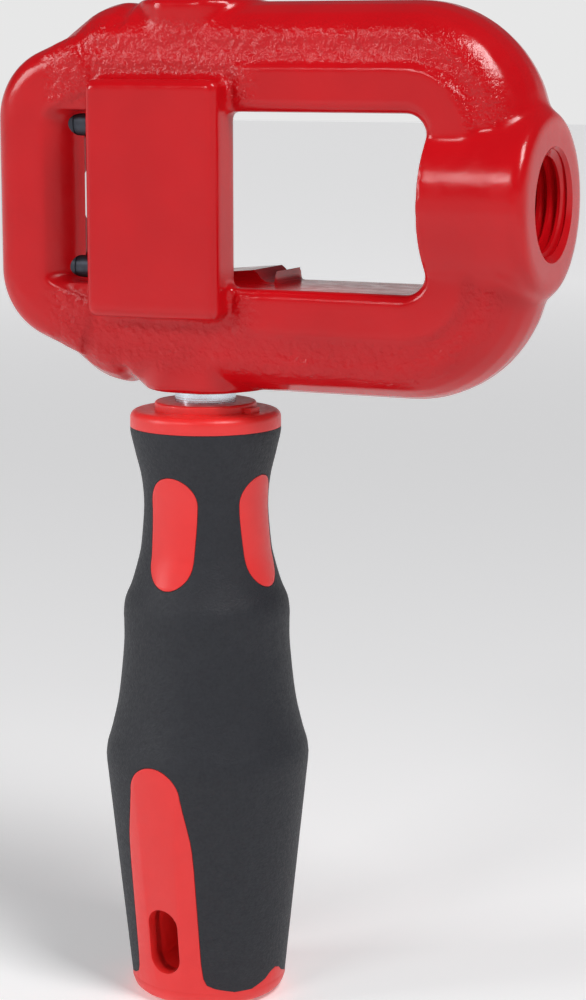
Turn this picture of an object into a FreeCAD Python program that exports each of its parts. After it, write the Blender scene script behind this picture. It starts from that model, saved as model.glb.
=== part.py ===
import FreeCAD, Part
import math
import os
from FreeCAD import Vector

# Flaring tool: a cast yoke with a die pocket and a threaded spindle boss, on a swivelling handle.
# The origin is where the spindle axis (X, towards the threaded boss) meets the handle axis (Z, up).
# -Y is the plated front of the yoke, +Y is its open back. All sizes are in millimetres.

# Yoke frame
WINDOW_LENGTH = 37.5
WINDOW_HALF_HEIGHT = 16.4
WINDOW_LEFT = 13.0
WINDOW_CORNER = 4.0
ARM_WIDTH = 20.5
ARM_HALF_DEPTH = 12.0
ARM_EDGE_ROUND = 8.5
CROWN_RADIUS = 25.0
CROWN_SETBACK = 1.2
RIM_WIDTH = 8.4
RIM_RISE = 1.0
RIM_INSET = 1.2
END_WALL = 16.3
END_FLAT_HALF_HEIGHT = 14.5
END_CORNER_RADIUS = 14.0
SHOULDER_ANGLE = 34.0
SHOULDER_BLEND_RADIUS = 14.0

# Die pocket, front plate and tube slot
SEAT_X = -23.6
POCKET_HALF_HEIGHT_SEAT = 17.0
POCKET_HALF_HEIGHT_MOUTH = 13.9
PLATE_LEFT = -17.0
PLATE_LENGTH = 28.0
PLATE_HALF_HEIGHT = 22.4
PLATE_THICKNESS = 6.8
PLATE_STANDOUT = 2.0
PLATE_ROUND = 1.6
GAP_HALF_HEIGHT = 23.5
GAP_SLOPE_RUN = 4.9
TUBE_SLOT_RADIUS = 6.3

# Spindle boss, with an M20 x 2 thread
BOSS_RADIUS = 17.5
BOSS_LENGTH = 20.5
BOSS_ROUND = 2.0
SPINDLE_THREAD_DIAMETER = 20.0
SPINDLE_THREAD_PITCH = 2.0
SPINDLE_CHAMFER = 0.5
THREAD_MINOR_FACTOR = 0.5413

# Spring plungers that hold the die halves, M6
PLUNGER_THREAD_DIAMETER = 6.0
PLUNGER_NOSE_DIAMETER = 5.6
PLUNGER_NOSE_LENGTH = 4.0
PLUNGER_LENGTH = 16.0
PLUNGER_CORE_LENGTH = 9.0
PLUNGER_Y = -6.4
PLUNGER_Z = 13.9
PLUNGER_NOSE_CLEARANCE = 0.2
DRIVE_SLOT_WIDTH = 1.0
DRIVE_SLOT_DEPTH = 1.2
BALL_DIAMETER = 3.5
BALL_STANDOUT = 0.9
BALL_CLEARANCE = 0.06
SPRING_WIRE = 0.45
SPRING_TURNS = 7
SPRING_END_GAP = 0.05
SPRING_SIDE_CLEARANCE = 0.1

# Shank: threaded stud in the yoke, plain bright neck, and a thinner journal inside the grip
SHANK_DIAMETER = 12.0
STUD_LENGTH = 13.0
SHANK_BOSS_RADIUS = 12.0
SHANK_BOSS_RISE = 0.4
SHANK_BOSS_INSET = 1.0
STUD_HOLE_ROOM = 1.0
NECK_EXPOSED = 2.5
NECK_IN_GRIP = 17.0
JOURNAL_DIAMETER = 10.0
SHANK_END_CHAMFER = 0.8
SHANK_RUNNING_CLEARANCE = 0.05
JOURNAL_RUNNING_CLEARANCE = 0.03
AXIAL_PLAY = 0.1
WASHER_THICKNESS = 1.0
WASHER_DIAMETER = 15.0
WASHER_CLEARANCE = 0.15
SLEEVE_BEARING_LENGTH = 34.0
SLEEVE_BEARING_DIAMETER = 16.0
CIRCLIP_THICKNESS = 1.0
CIRCLIP_DIAMETER = 14.0
CIRCLIP_GROOVE_DEPTH = 0.5
CIRCLIP_GAP = 3.0
GROOVE_LAND = 2.0
BORE_END_ROOM = 2.0

# Flanged bush that closes the top of the grip
FLANGE_RADIUS = 10.0
FLANGE_THICKNESS = 1.7
FLANGE_ROUND = 0.5
BUSH_DIAMETER = 16.5
BUSH_TAB_WIDTH = 3.0
BUSH_TAB_REACH = 1.5
BUSH_TAB_HEIGHT = 1.0
BUSH_TAB_ROOT = 1.0

# Grip: red core and black overmoulded sleeve; heights are below the collar's top face
GRIP_TURN = -6.5
COLLAR_HEIGHT = 3.2
COLLAR_ROUND = 1.3
COLLAR_RADIUS = 14.8
NECK_BEND_DROP = 4.5
NECK_BEND_TAPER = 1.0
NECK_FOOT_DROP = 9.5
NECK_FOOT_TAPER = 2.1
GRIP_WAIST_DROP = 18.7
GRIP_WAIST_RADIUS = 12.25
WAIST_FLARE_DROP = 6.0
WAIST_FLARE = 0.3
WAIST_FOOT_DROP = 12.0
WAIST_FOOT_FLARE = 1.35
GUARD_ROOT_RISE = 3.0
GUARD_ROOT_TAPER = 1.1
GUARD_DROP = 39.4
GUARD_RADIUS = 16.5
BELLY_TOP_DROP = 5.0
BELLY_TOP_TAPER = 0.05
BELLY_DROP = 12.0
BELLY_SWELL = 0.4
BELLY_FOOT_DROP = 20.0
BELLY_FOOT_SWELL = 1.5
RIDGE_ROOT_RISE = 4.0
RIDGE_ROOT_TAPER = 1.0
RIDGE_DROP = 69.0
RIDGE_RADIUS = 20.3
TAIL_RADIUS = 15.4
TAIL_ROUND_HEIGHT = 3.3
GRIP_LENGTH = 118.4
TAIL_FLAT_RADIUS = 10.5
TAIL_BEND_DROP = 2.2
TAIL_BEND_TAPER = 1.5
SLEEVE_WALL = 2.2
INSET_HALF_WIDTH = 5.2
INSET_HALF_HEIGHT = 10.95
INSET_DROP = 23.0
INSET_COUNT = 4
TONGUE_RIDGE_OVERLAP = 0.8
TONGUE_TOP_HALF_WIDTH = 5.7
TONGUE_HALF_WIDTH = 7.5
TONGUE_TAPER_LENGTH = 20.3
NOTCH_HALF_WIDTH = 3.0
NOTCH_HEIGHT = 2.9
HANG_SLOT_WIDTH = 6.8
HANG_SLOT_HEIGHT = 13.6
HANG_SLOT_FROM_END = 13.8

# Planes and faces that follow from the sizes above
HALF_HEIGHT = WINDOW_HALF_HEIGHT + ARM_WIDTH
WINDOW_RIGHT = WINDOW_LEFT + WINDOW_LENGTH
YOKE_LEFT = SEAT_X - END_WALL
BOSS_FACE_X = WINDOW_RIGHT + BOSS_LENGTH
RIM_HALF_DEPTH = ARM_HALF_DEPTH + RIM_RISE
PLATE_FRONT_Y = -RIM_HALF_DEPTH - PLATE_STANDOUT
PLATE_BACK_Y = PLATE_FRONT_Y + PLATE_THICKNESS
PLATE_RIGHT = PLATE_LEFT + PLATE_LENGTH
THREAD_MINOR_RADIUS = SPINDLE_THREAD_DIAMETER / 2 - THREAD_MINOR_FACTOR * SPINDLE_THREAD_PITCH
CHAMFER_RADIUS = SPINDLE_THREAD_DIAMETER / 2 + SPINDLE_CHAMFER
SHANK_RADIUS = SHANK_DIAMETER / 2
JOURNAL_RADIUS = JOURNAL_DIAMETER / 2
YOKE_BOTTOM = -HALF_HEIGHT - SHANK_BOSS_RISE
FLANGE_TOP = YOKE_BOTTOM - NECK_EXPOSED
COLLAR_TOP = FLANGE_TOP - FLANGE_THICKNESS
SHOULDER_Z = COLLAR_TOP - NECK_IN_GRIP
UPPER_WASHER_Z = SHOULDER_Z - WASHER_THICKNESS
BEARING_TOP = UPPER_WASHER_Z - AXIAL_PLAY
BEARING_BOTTOM = BEARING_TOP - SLEEVE_BEARING_LENGTH
LOWER_WASHER_Z = BEARING_BOTTOM - AXIAL_PLAY - WASHER_THICKNESS
CIRCLIP_Z = LOWER_WASHER_Z - CIRCLIP_THICKNESS
SHANK_END = CIRCLIP_Z - GROOVE_LAND
GRIP_BORE_END = SHANK_END - BORE_END_ROOM
NOSE_X = SEAT_X + PLUNGER_NOSE_LENGTH
PLUNGER_REAR_X = NOSE_X - PLUNGER_LENGTH
BALL_X = NOSE_X + BALL_STANDOUT - BALL_DIAMETER / 2
BALL_BORE_RADIUS = BALL_DIAMETER / 2 + BALL_CLEARANCE
SPRING_SEAT_X = NOSE_X - PLUNGER_CORE_LENGTH
TAIL_DROP = GRIP_LENGTH - TAIL_ROUND_HEIGHT
TONGUE_TOP_DROP = RIDGE_DROP - TONGUE_RIDGE_OVERLAP
TONGUE_SHOULDER_DROP = TONGUE_TOP_DROP + TONGUE_TAPER_LENGTH
NOTCH_TOP_DROP = TAIL_DROP - NOTCH_HEIGHT
HANG_SLOT_DROP = GRIP_LENGTH - HANG_SLOT_FROM_END

# Half-size of cutting tools, larger than any part of the object
THROUGH = 300.0


def cylinder(radius, start, axis, length):
    return Part.makeCylinder(radius, length, start, axis)


def box(low, high):
    size = high - low
    return Part.makeBox(size.x, size.y, size.z, low)


def prism(points, low_y, high_y):
    """Solid with a straight-sided outline in the XZ plane, given as (x, z) pairs."""
    corners = [Vector(x, low_y, z) for x, z in points]
    face = Part.Face(Part.makePolygon(corners + corners[:1]))
    return face.extrude(Vector(0, high_y - low_y, 0))


def edges_at(shape, test):
    """Edges whose middle point passes the test."""
    found = []
    for edge in shape.Edges:
        middle = edge.valueAt((edge.FirstParameter + edge.LastParameter) / 2)
        if test(middle):
            found.append(edge)
    return found


def rounded_slab(left, right, half_height, corner, half_depth):
    """Slab lying in the XZ plane with four rounded corners."""
    slab = box(Vector(left, -half_depth, -half_height), Vector(right, half_depth, half_height))
    uprights = edges_at(slab, lambda p: abs(p.y) < 0.001)
    return slab.makeFillet(corner, uprights)


def yoke_side(sign):
    """Outline of the yoke's upper (sign 1) or lower (sign -1) half, from the end wall to the crown."""
    angle = math.radians(SHOULDER_ANGLE)

    def point(x, z):
        return Vector(x, 0, sign * z)

    def on_arc(x, z, radius, turn):
        return point(x - radius * math.sin(turn), z + radius * math.cos(turn))

    end_x = YOKE_LEFT + END_CORNER_RADIUS
    foot = point(YOKE_LEFT, END_FLAT_HALF_HEIGHT)
    corner = on_arc(end_x, END_FLAT_HALF_HEIGHT, END_CORNER_RADIUS, (angle + math.pi / 2) / 2)
    knee = on_arc(end_x, END_FLAT_HALF_HEIGHT, END_CORNER_RADIUS, angle)
    blend_z = HALF_HEIGHT - SHOULDER_BLEND_RADIUS
    rise = blend_z + SHOULDER_BLEND_RADIUS * math.cos(angle) - abs(knee.z)
    blend_x = knee.x + rise / math.tan(angle) + SHOULDER_BLEND_RADIUS * math.sin(angle)
    shoulder = on_arc(blend_x, blend_z, SHOULDER_BLEND_RADIUS, angle)
    blend = on_arc(blend_x, blend_z, SHOULDER_BLEND_RADIUS, angle / 2)
    arm = point(blend_x, HALF_HEIGHT)
    crown_x = BOSS_FACE_X - CROWN_SETBACK - CROWN_RADIUS
    crown_z = HALF_HEIGHT - CROWN_RADIUS
    arm_end = point(crown_x, HALF_HEIGHT)
    crown = on_arc(crown_x, crown_z, CROWN_RADIUS, -math.pi / 4)
    side = point(crown_x + CROWN_RADIUS, crown_z)
    edges = [Part.Arc(foot, corner, knee).toShape()]
    edges.append(Part.LineSegment(knee, shoulder).toShape())
    edges.append(Part.Arc(shoulder, blend, arm).toShape())
    edges.append(Part.LineSegment(arm, arm_end).toShape())
    edges.append(Part.Arc(arm_end, crown, side).toShape())
    return edges, foot, side


def yoke_outline(half_depth):
    """The yoke's outer outline as a plain slab."""
    upper, upper_foot, upper_side = yoke_side(1)
    lower, lower_foot, lower_side = yoke_side(-1)
    edges = upper + lower
    edges.append(Part.LineSegment(lower_foot, upper_foot).toShape())
    edges.append(Part.LineSegment(lower_side, upper_side).toShape())
    face = Part.Face(Part.Wire(Part.__sortEdges__(edges)))
    face.translate(Vector(0, -half_depth, 0))
    return face.extrude(Vector(0, 2 * half_depth, 0))


def yoke_blank():
    """Solid frame with its outer edges rounded all the way round."""
    blank = yoke_outline(ARM_HALF_DEPTH)
    outer = edges_at(blank, lambda p: abs(abs(p.y) - ARM_HALF_DEPTH) < 0.001)
    return blank.makeFillet(ARM_EDGE_ROUND, outer)


def inner_rim():
    """Flat rim round the window and the end wall, a little proud of the arms."""
    left = YOKE_LEFT + RIM_INSET
    right = WINDOW_RIGHT + RIM_WIDTH
    slab = rounded_slab(left, right, WINDOW_HALF_HEIGHT + RIM_WIDTH, RIM_WIDTH, RIM_HALF_DEPTH)
    outline = yoke_outline(RIM_HALF_DEPTH)
    outline.translate(Vector(RIM_INSET, 0, 0))
    return slab.common(outline)


def spindle_boss():
    boss = cylinder(BOSS_RADIUS, Vector(WINDOW_RIGHT, 0, 0), Vector(1, 0, 0), BOSS_LENGTH)
    rim = edges_at(boss, lambda p: abs(p.x - BOSS_FACE_X) < 0.001)
    return boss.makeFillet(BOSS_ROUND, rim)


def shank_bosses():
    """Low round pads on the lower and upper arms, on the handle's axis."""
    length = 2 * (HALF_HEIGHT + SHANK_BOSS_RISE)
    pad = cylinder(SHANK_BOSS_RADIUS, Vector(0, 0, -length / 2), Vector(0, 0, 1), length)
    half_depth = ARM_HALF_DEPTH - SHANK_BOSS_INSET
    slab = box(Vector(-THROUGH, -half_depth, -THROUGH), Vector(THROUGH, half_depth, THROUGH))
    return pad.common(slab)


def front_plate():
    """Thick plate that carries the dies and stands proud of the frame's front."""
    low = Vector(PLATE_LEFT, PLATE_FRONT_Y, -PLATE_HALF_HEIGHT)
    high = Vector(PLATE_RIGHT, PLATE_BACK_Y, PLATE_HALF_HEIGHT)
    plate = box(low, high)
    rims = edges_at(plate, lambda p: p.y < PLATE_BACK_Y - 0.001)
    return plate.makeFillet(PLATE_ROUND, rims)


def window_cut():
    slab = rounded_slab(WINDOW_LEFT, WINDOW_RIGHT, WINDOW_HALF_HEIGHT, WINDOW_CORNER, THROUGH)
    mouth = POCKET_HALF_HEIGHT_MOUTH
    entry = [(PLATE_RIGHT, -mouth), (WINDOW_LEFT + WINDOW_CORNER, -WINDOW_HALF_HEIGHT)]
    entry += [(WINDOW_LEFT + WINDOW_CORNER, WINDOW_HALF_HEIGHT), (PLATE_RIGHT, mouth)]
    return slab.fuse(prism(entry, -THROUGH, THROUGH))


def die_pocket_cut():
    """Tapered pocket behind the front plate, open to the back and to the window."""
    seat = POCKET_HALF_HEIGHT_SEAT
    mouth = POCKET_HALF_HEIGHT_MOUTH
    outline = [(SEAT_X, -seat), (PLATE_RIGHT, -mouth), (PLATE_RIGHT, mouth), (SEAT_X, seat)]
    return prism(outline, PLATE_BACK_Y, THROUGH)


def front_gap_cut():
    """Gap at the front between the end wall and the plate, dished towards the seat."""
    wide = GAP_HALF_HEIGHT
    seat = POCKET_HALF_HEIGHT_SEAT
    front_left = SEAT_X - GAP_SLOPE_RUN
    front = [(front_left, -wide), (PLATE_LEFT, -wide), (PLATE_LEFT, wide), (front_left, wide)]
    back = [(SEAT_X, -seat), (PLATE_LEFT, -seat), (PLATE_LEFT, seat), (SEAT_X, seat)]
    front_points = [Vector(x, -RIM_HALF_DEPTH, z) for x, z in front]
    back_points = [Vector(x, PLATE_BACK_Y, z) for x, z in back]
    front_wire = Part.makePolygon(front_points + front_points[:1])
    back_wire = Part.makePolygon(back_points + back_points[:1])
    return Part.makeLoft([front_wire, back_wire], True, True)


def tube_slot_cut():
    """U slot through the end wall for the pipe, open to the back."""
    start = Vector(YOKE_LEFT - 1, 0, 0)
    hole = cylinder(TUBE_SLOT_RADIUS, start, Vector(1, 0, 0), END_WALL + 2)
    low = Vector(YOKE_LEFT - 1, 0, -TUBE_SLOT_RADIUS)
    high = Vector(SEAT_X + 1, THROUGH, TUBE_SLOT_RADIUS)
    return hole.fuse(box(low, high))


def spindle_bore_cut():
    axis = Vector(1, 0, 0)
    bore = cylinder(THREAD_MINOR_RADIUS, Vector(WINDOW_RIGHT - 1, 0, 0), axis, BOSS_LENGTH + 2)
    depth = CHAMFER_RADIUS - THREAD_MINOR_RADIUS
    start = Vector(BOSS_FACE_X - depth, 0, 0)
    mouth = Part.makeCone(THREAD_MINOR_RADIUS, CHAMFER_RADIUS, depth, start, axis)
    return bore.fuse(mouth)


def plunger_cut(sign):
    start = Vector(YOKE_LEFT - 1, PLUNGER_Y, sign * PLUNGER_Z)
    hole = cylinder(PLUNGER_THREAD_DIAMETER / 2, start, Vector(1, 0, 0), END_WALL + 1)
    nose_start = Vector(SEAT_X, PLUNGER_Y, sign * PLUNGER_Z)
    relief_radius = PLUNGER_NOSE_DIAMETER / 2 + PLUNGER_NOSE_CLEARANCE
    relief_length = PLATE_LEFT - SEAT_X
    return hole.fuse(cylinder(relief_radius, nose_start, Vector(1, 0, 0), relief_length))


def stud_cut():
    depth = STUD_LENGTH + STUD_HOLE_ROOM
    return cylinder(SHANK_RADIUS, Vector(0, 0, YOKE_BOTTOM), Vector(0, 0, 1), depth)


def yoke_casting():
    body = yoke_blank().fuse(inner_rim())
    body = body.fuse(shank_bosses())
    body = body.fuse(spindle_boss())
    body = body.cut(window_cut())
    body = body.cut(front_gap_cut())
    body = body.fuse(front_plate())
    body = body.cut(die_pocket_cut())
    body = body.cut(tube_slot_cut())
    body = body.cut(spindle_bore_cut())
    for sign in (1, -1):
        body = body.cut(plunger_cut(sign))
    body = body.cut(stud_cut())
    return body.removeSplitter()


def plunger_body(sign):
    """Threaded steel barrel with a slotted rear end; its lip holds the ball in."""
    axis = Vector(1, 0, 0)
    y = PLUNGER_Y
    z = sign * PLUNGER_Z
    thread_length = SEAT_X - PLUNGER_REAR_X
    barrel = cylinder(PLUNGER_THREAD_DIAMETER / 2, Vector(PLUNGER_REAR_X, y, z), axis, thread_length)
    nose = cylinder(PLUNGER_NOSE_DIAMETER / 2, Vector(SEAT_X, y, z), axis, PLUNGER_NOSE_LENGTH)
    body = barrel.fuse(nose)
    bore_length = BALL_X - SPRING_SEAT_X
    bore = cylinder(BALL_BORE_RADIUS, Vector(SPRING_SEAT_X, y, z), axis, bore_length)
    ball_seat = Part.makeSphere(BALL_BORE_RADIUS, Vector(BALL_X, y, z))
    body = body.cut(bore.fuse(ball_seat))
    reach = PLUNGER_THREAD_DIAMETER
    low = Vector(PLUNGER_REAR_X - 1, y - reach, z - DRIVE_SLOT_WIDTH / 2)
    high = Vector(PLUNGER_REAR_X + DRIVE_SLOT_DEPTH, y + reach, z + DRIVE_SLOT_WIDTH / 2)
    return body.cut(box(low, high))


def plunger_ball(sign):
    return Part.makeSphere(BALL_DIAMETER / 2, Vector(BALL_X, PLUNGER_Y, sign * PLUNGER_Z))


def plunger_spring(sign):
    """Open coil between the barrel's floor and the ball."""
    start = SPRING_SEAT_X + SPRING_WIRE / 2 + SPRING_END_GAP
    coil_radius = BALL_BORE_RADIUS - SPRING_WIRE / 2 - SPRING_SIDE_CLEARANCE
    ball_radius = BALL_DIAMETER / 2
    contact = math.sqrt(ball_radius ** 2 - coil_radius ** 2)
    end = BALL_X - contact - SPRING_WIRE
    length = end - start
    helix = Part.makeHelix(length / SPRING_TURNS, length, coil_radius)
    profile = Part.Wire(Part.makeCircle(SPRING_WIRE / 2, Vector(coil_radius, 0, 0), Vector(0, 1, 0)))
    coil = Part.Wire(helix.Edges).makePipeShell([profile], True, True)
    coil.rotate(Vector(0, 0, 0), Vector(0, 1, 0), 90)
    coil.translate(Vector(start, PLUNGER_Y, sign * PLUNGER_Z))
    return coil


def shank():
    """Turned steel shank: stud in the yoke, neck, shoulder, journal and circlip groove."""
    up = Vector(0, 0, 1)
    stud_top = YOKE_BOTTOM + STUD_LENGTH
    neck = cylinder(SHANK_RADIUS, Vector(0, 0, SHOULDER_Z), up, stud_top - SHOULDER_Z)
    journal = cylinder(JOURNAL_RADIUS, Vector(0, 0, SHANK_END), up, SHOULDER_Z - SHANK_END)
    body = neck.fuse(journal)
    ends = edges_at(body, lambda p: p.z > stud_top - 0.001 or p.z < SHANK_END + 0.001)
    body = body.makeChamfer(SHANK_END_CHAMFER, ends)
    groove = cylinder(JOURNAL_DIAMETER, Vector(0, 0, CIRCLIP_Z), up, CIRCLIP_THICKNESS)
    floor_radius = JOURNAL_RADIUS - CIRCLIP_GROOVE_DEPTH
    floor = cylinder(floor_radius, Vector(0, 0, CIRCLIP_Z), up, CIRCLIP_THICKNESS)
    return body.cut(groove.cut(floor))


def ring(outer, inner, low_z, height):
    up = Vector(0, 0, 1)
    disc = cylinder(outer, Vector(0, 0, low_z), up, height)
    return disc.cut(cylinder(inner, Vector(0, 0, low_z), up, height))


def thrust_washer(low_z):
    return ring(WASHER_DIAMETER / 2, JOURNAL_RADIUS + WASHER_CLEARANCE, low_z, WASHER_THICKNESS)


def circlip():
    """Open retaining ring in the shank's groove."""
    clip = ring(CIRCLIP_DIAMETER / 2, JOURNAL_RADIUS - CIRCLIP_GROOVE_DEPTH, CIRCLIP_Z, CIRCLIP_THICKNESS)
    half_gap = CIRCLIP_GAP / 2
    low = Vector(-half_gap, 0, CIRCLIP_Z - 1)
    high = Vector(half_gap, CIRCLIP_DIAMETER, CIRCLIP_Z + CIRCLIP_THICKNESS + 1)
    return clip.cut(box(low, high))


def bearing_sleeve():
    inner = JOURNAL_RADIUS + JOURNAL_RUNNING_CLEARANCE
    return ring(SLEEVE_BEARING_DIAMETER / 2, inner, BEARING_BOTTOM, SLEEVE_BEARING_LENGTH)


def turned_with_grip(shape):
    shape.rotate(Vector(0, 0, 0), Vector(0, 0, 1), GRIP_TURN)
    return shape


def flange_bush():
    """Red bush whose flange closes the grip; a tab on its rim keys into the collar."""
    up = Vector(0, 0, 1)
    flange = cylinder(FLANGE_RADIUS, Vector(0, 0, COLLAR_TOP), up, FLANGE_THICKNESS)
    top_edge = edges_at(flange, lambda p: p.z > FLANGE_TOP - 0.001)
    flange = flange.makeFillet(FLANGE_ROUND, top_edge)
    depth = NECK_IN_GRIP - AXIAL_PLAY
    body = flange.fuse(cylinder(BUSH_DIAMETER / 2, Vector(0, 0, COLLAR_TOP - depth), up, depth))
    half_width = BUSH_TAB_WIDTH / 2
    low = Vector(FLANGE_RADIUS - BUSH_TAB_ROOT, -half_width, COLLAR_TOP - BUSH_TAB_HEIGHT)
    high = Vector(FLANGE_RADIUS + BUSH_TAB_REACH, half_width, COLLAR_TOP + BUSH_TAB_HEIGHT)
    body = body.fuse(box(low, high))
    running = SHANK_RADIUS + SHANK_RUNNING_CLEARANCE
    bore_length = depth + FLANGE_THICKNESS + 2
    body = body.cut(cylinder(running, Vector(0, 0, COLLAR_TOP - depth - 1), up, bore_length))
    return turned_with_grip(body.removeSplitter())


def grip_profile(wall):
    """Revolved outline of the grip from collar to tail, moved inwards by a wall thickness."""
    def at(drop, radius):
        return Vector(radius - wall, 0, COLLAR_TOP - drop)

    top = Vector(0, 0, COLLAR_TOP)
    shoulder = at(0, COLLAR_RADIUS - COLLAR_ROUND)
    bend = COLLAR_ROUND * (1 - math.sqrt(0.5))
    corner = at(bend, COLLAR_RADIUS - bend)
    collar = at(COLLAR_ROUND, COLLAR_RADIUS)
    collar_end = at(COLLAR_HEIGHT, COLLAR_RADIUS)
    guard = at(GUARD_DROP, GUARD_RADIUS)
    ridge = at(RIDGE_DROP, RIDGE_RADIUS)
    upper = Part.BSplineCurve()
    waist_points = [collar_end]
    waist_points.append(at(COLLAR_HEIGHT + NECK_BEND_DROP, COLLAR_RADIUS - NECK_BEND_TAPER))
    waist_points.append(at(COLLAR_HEIGHT + NECK_FOOT_DROP, COLLAR_RADIUS - NECK_FOOT_TAPER))
    waist_points.append(at(GRIP_WAIST_DROP, GRIP_WAIST_RADIUS))
    waist_points.append(at(GRIP_WAIST_DROP + WAIST_FLARE_DROP, GRIP_WAIST_RADIUS + WAIST_FLARE))
    waist_points.append(at(GRIP_WAIST_DROP + WAIST_FOOT_DROP, GRIP_WAIST_RADIUS + WAIST_FOOT_FLARE))
    waist_points.append(at(GUARD_DROP - GUARD_ROOT_RISE, GUARD_RADIUS - GUARD_ROOT_TAPER))
    waist_points.append(guard)
    upper.interpolate(waist_points)
    lower = Part.BSplineCurve()
    belly_points = [guard]
    belly_points.append(at(GUARD_DROP + BELLY_TOP_DROP, GUARD_RADIUS - BELLY_TOP_TAPER))
    belly_points.append(at(GUARD_DROP + BELLY_DROP, GUARD_RADIUS + BELLY_SWELL))
    belly_points.append(at(GUARD_DROP + BELLY_FOOT_DROP, GUARD_RADIUS + BELLY_FOOT_SWELL))
    belly_points.append(at(RIDGE_DROP - RIDGE_ROOT_RISE, RIDGE_RADIUS - RIDGE_ROOT_TAPER))
    belly_points.append(ridge)
    lower.interpolate(belly_points)
    tail = at(TAIL_DROP, TAIL_RADIUS)
    tail_bend = at(TAIL_DROP + TAIL_BEND_DROP, TAIL_RADIUS - TAIL_BEND_TAPER)
    end_rim = at(GRIP_LENGTH, TAIL_FLAT_RADIUS)
    end = Vector(0, 0, COLLAR_TOP - GRIP_LENGTH)
    edges = [Part.LineSegment(top, shoulder).toShape(), Part.Arc(shoulder, corner, collar).toShape()]
    edges += [Part.LineSegment(collar, collar_end).toShape(), upper.toShape(), lower.toShape()]
    edges += [Part.LineSegment(ridge, tail).toShape(), Part.Arc(tail, tail_bend, end_rim).toShape()]
    edges += [Part.LineSegment(end_rim, end).toShape(), Part.LineSegment(end, top).toShape()]
    return Part.Face(Part.Wire(edges))


def grip_solid(wall):
    return grip_profile(wall).revolve(Vector(0, 0, 0), Vector(0, 0, 1), 360)


def inset_patch():
    """Tall rounded outline of one red inset, as a prism that reaches outwards along -Y."""
    straight = INSET_HALF_HEIGHT - INSET_HALF_WIDTH
    centre_z = COLLAR_TOP - INSET_DROP
    low = Vector(-INSET_HALF_WIDTH, -THROUGH, centre_z - straight)
    high = Vector(INSET_HALF_WIDTH, 0, centre_z + straight)
    patch = box(low, high)
    for offset in (-straight, straight):
        start = Vector(0, -THROUGH, centre_z + offset)
        patch = patch.fuse(cylinder(INSET_HALF_WIDTH, start, Vector(0, 1, 0), THROUGH))
    return patch


def tongue_patch():
    """Red tongue that runs up from the tail, on the front and on the back of the grip."""
    top = TONGUE_TOP_HALF_WIDTH
    wide = TONGUE_HALF_WIDTH
    top_z = COLLAR_TOP - TONGUE_TOP_DROP - top
    shoulder_z = COLLAR_TOP - TONGUE_SHOULDER_DROP
    foot_z = COLLAR_TOP - GRIP_LENGTH - 1
    outline = [(-top, top_z), (-wide, shoulder_z), (-wide, foot_z)]
    outline += [(wide, foot_z), (wide, shoulder_z), (top, top_z)]
    patch = prism(outline, -THROUGH, THROUGH)
    head = cylinder(top, Vector(0, -THROUGH, top_z), Vector(0, 1, 0), 2 * THROUGH)
    return patch.fuse(head)


def notch_patch():
    """Small red notch in the sleeve's lower edge, on both sides of the grip."""
    centre_z = COLLAR_TOP - NOTCH_TOP_DROP - NOTCH_HALF_WIDTH
    head = cylinder(NOTCH_HALF_WIDTH, Vector(-THROUGH, 0, centre_z), Vector(1, 0, 0), 2 * THROUGH)
    low = Vector(-THROUGH, -NOTCH_HALF_WIDTH, COLLAR_TOP - GRIP_LENGTH - 1)
    return head.fuse(box(low, Vector(THROUGH, NOTCH_HALF_WIDTH, centre_z)))


def band(top_drop, bottom_drop):
    low = Vector(-THROUGH, -THROUGH, COLLAR_TOP - bottom_drop)
    return box(low, Vector(THROUGH, THROUGH, COLLAR_TOP - top_drop))


def hang_slot_cut():
    half = HANG_SLOT_WIDTH / 2
    straight = HANG_SLOT_HEIGHT / 2 - half
    centre_z = COLLAR_TOP - HANG_SLOT_DROP
    slot = box(Vector(-half, -THROUGH, centre_z - straight), Vector(half, THROUGH, centre_z + straight))
    for offset in (-straight, straight):
        start = Vector(0, -THROUGH, centre_z + offset)
        slot = slot.fuse(cylinder(half, start, Vector(0, 1, 0), 2 * THROUGH))
    return slot


def grip_core_blank():
    """Red moulding before its bores are cut: collar, inner body, insets, tongues and tail."""
    outer = grip_solid(0)
    core = grip_solid(SLEEVE_WALL).common(band(COLLAR_HEIGHT, TAIL_DROP))
    core = core.fuse(outer.common(band(-1, COLLAR_HEIGHT)))
    core = core.fuse(outer.common(band(TAIL_DROP, GRIP_LENGTH + 1)))
    for index in range(INSET_COUNT):
        patch = inset_patch()
        patch.rotate(Vector(0, 0, 0), Vector(0, 0, 1), index * 360 / INSET_COUNT)
        core = core.fuse(outer.common(patch))
    tail = band(TONGUE_TOP_DROP - 1, GRIP_LENGTH + 1)
    core = core.fuse(outer.common(tongue_patch()).common(tail))
    core = core.fuse(outer.common(notch_patch()).common(band(NOTCH_TOP_DROP - 1, GRIP_LENGTH + 1)))
    return core


def grip_core():
    up = Vector(0, 0, 1)
    core = grip_core_blank()
    depth = NECK_IN_GRIP - AXIAL_PLAY
    core = core.cut(cylinder(BUSH_DIAMETER / 2, Vector(0, 0, COLLAR_TOP - depth), up, depth + 1))
    bore_length = COLLAR_TOP - GRIP_BORE_END
    core = core.cut(cylinder(SLEEVE_BEARING_DIAMETER / 2, Vector(0, 0, GRIP_BORE_END), up, bore_length))
    half_width = BUSH_TAB_WIDTH / 2
    low = Vector(0, -half_width, COLLAR_TOP - BUSH_TAB_HEIGHT)
    high = Vector(FLANGE_RADIUS + BUSH_TAB_REACH, half_width, COLLAR_TOP + BUSH_TAB_HEIGHT)
    core = core.cut(box(low, high))
    core = core.cut(hang_slot_cut())
    return turned_with_grip(core.removeSplitter())


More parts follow.
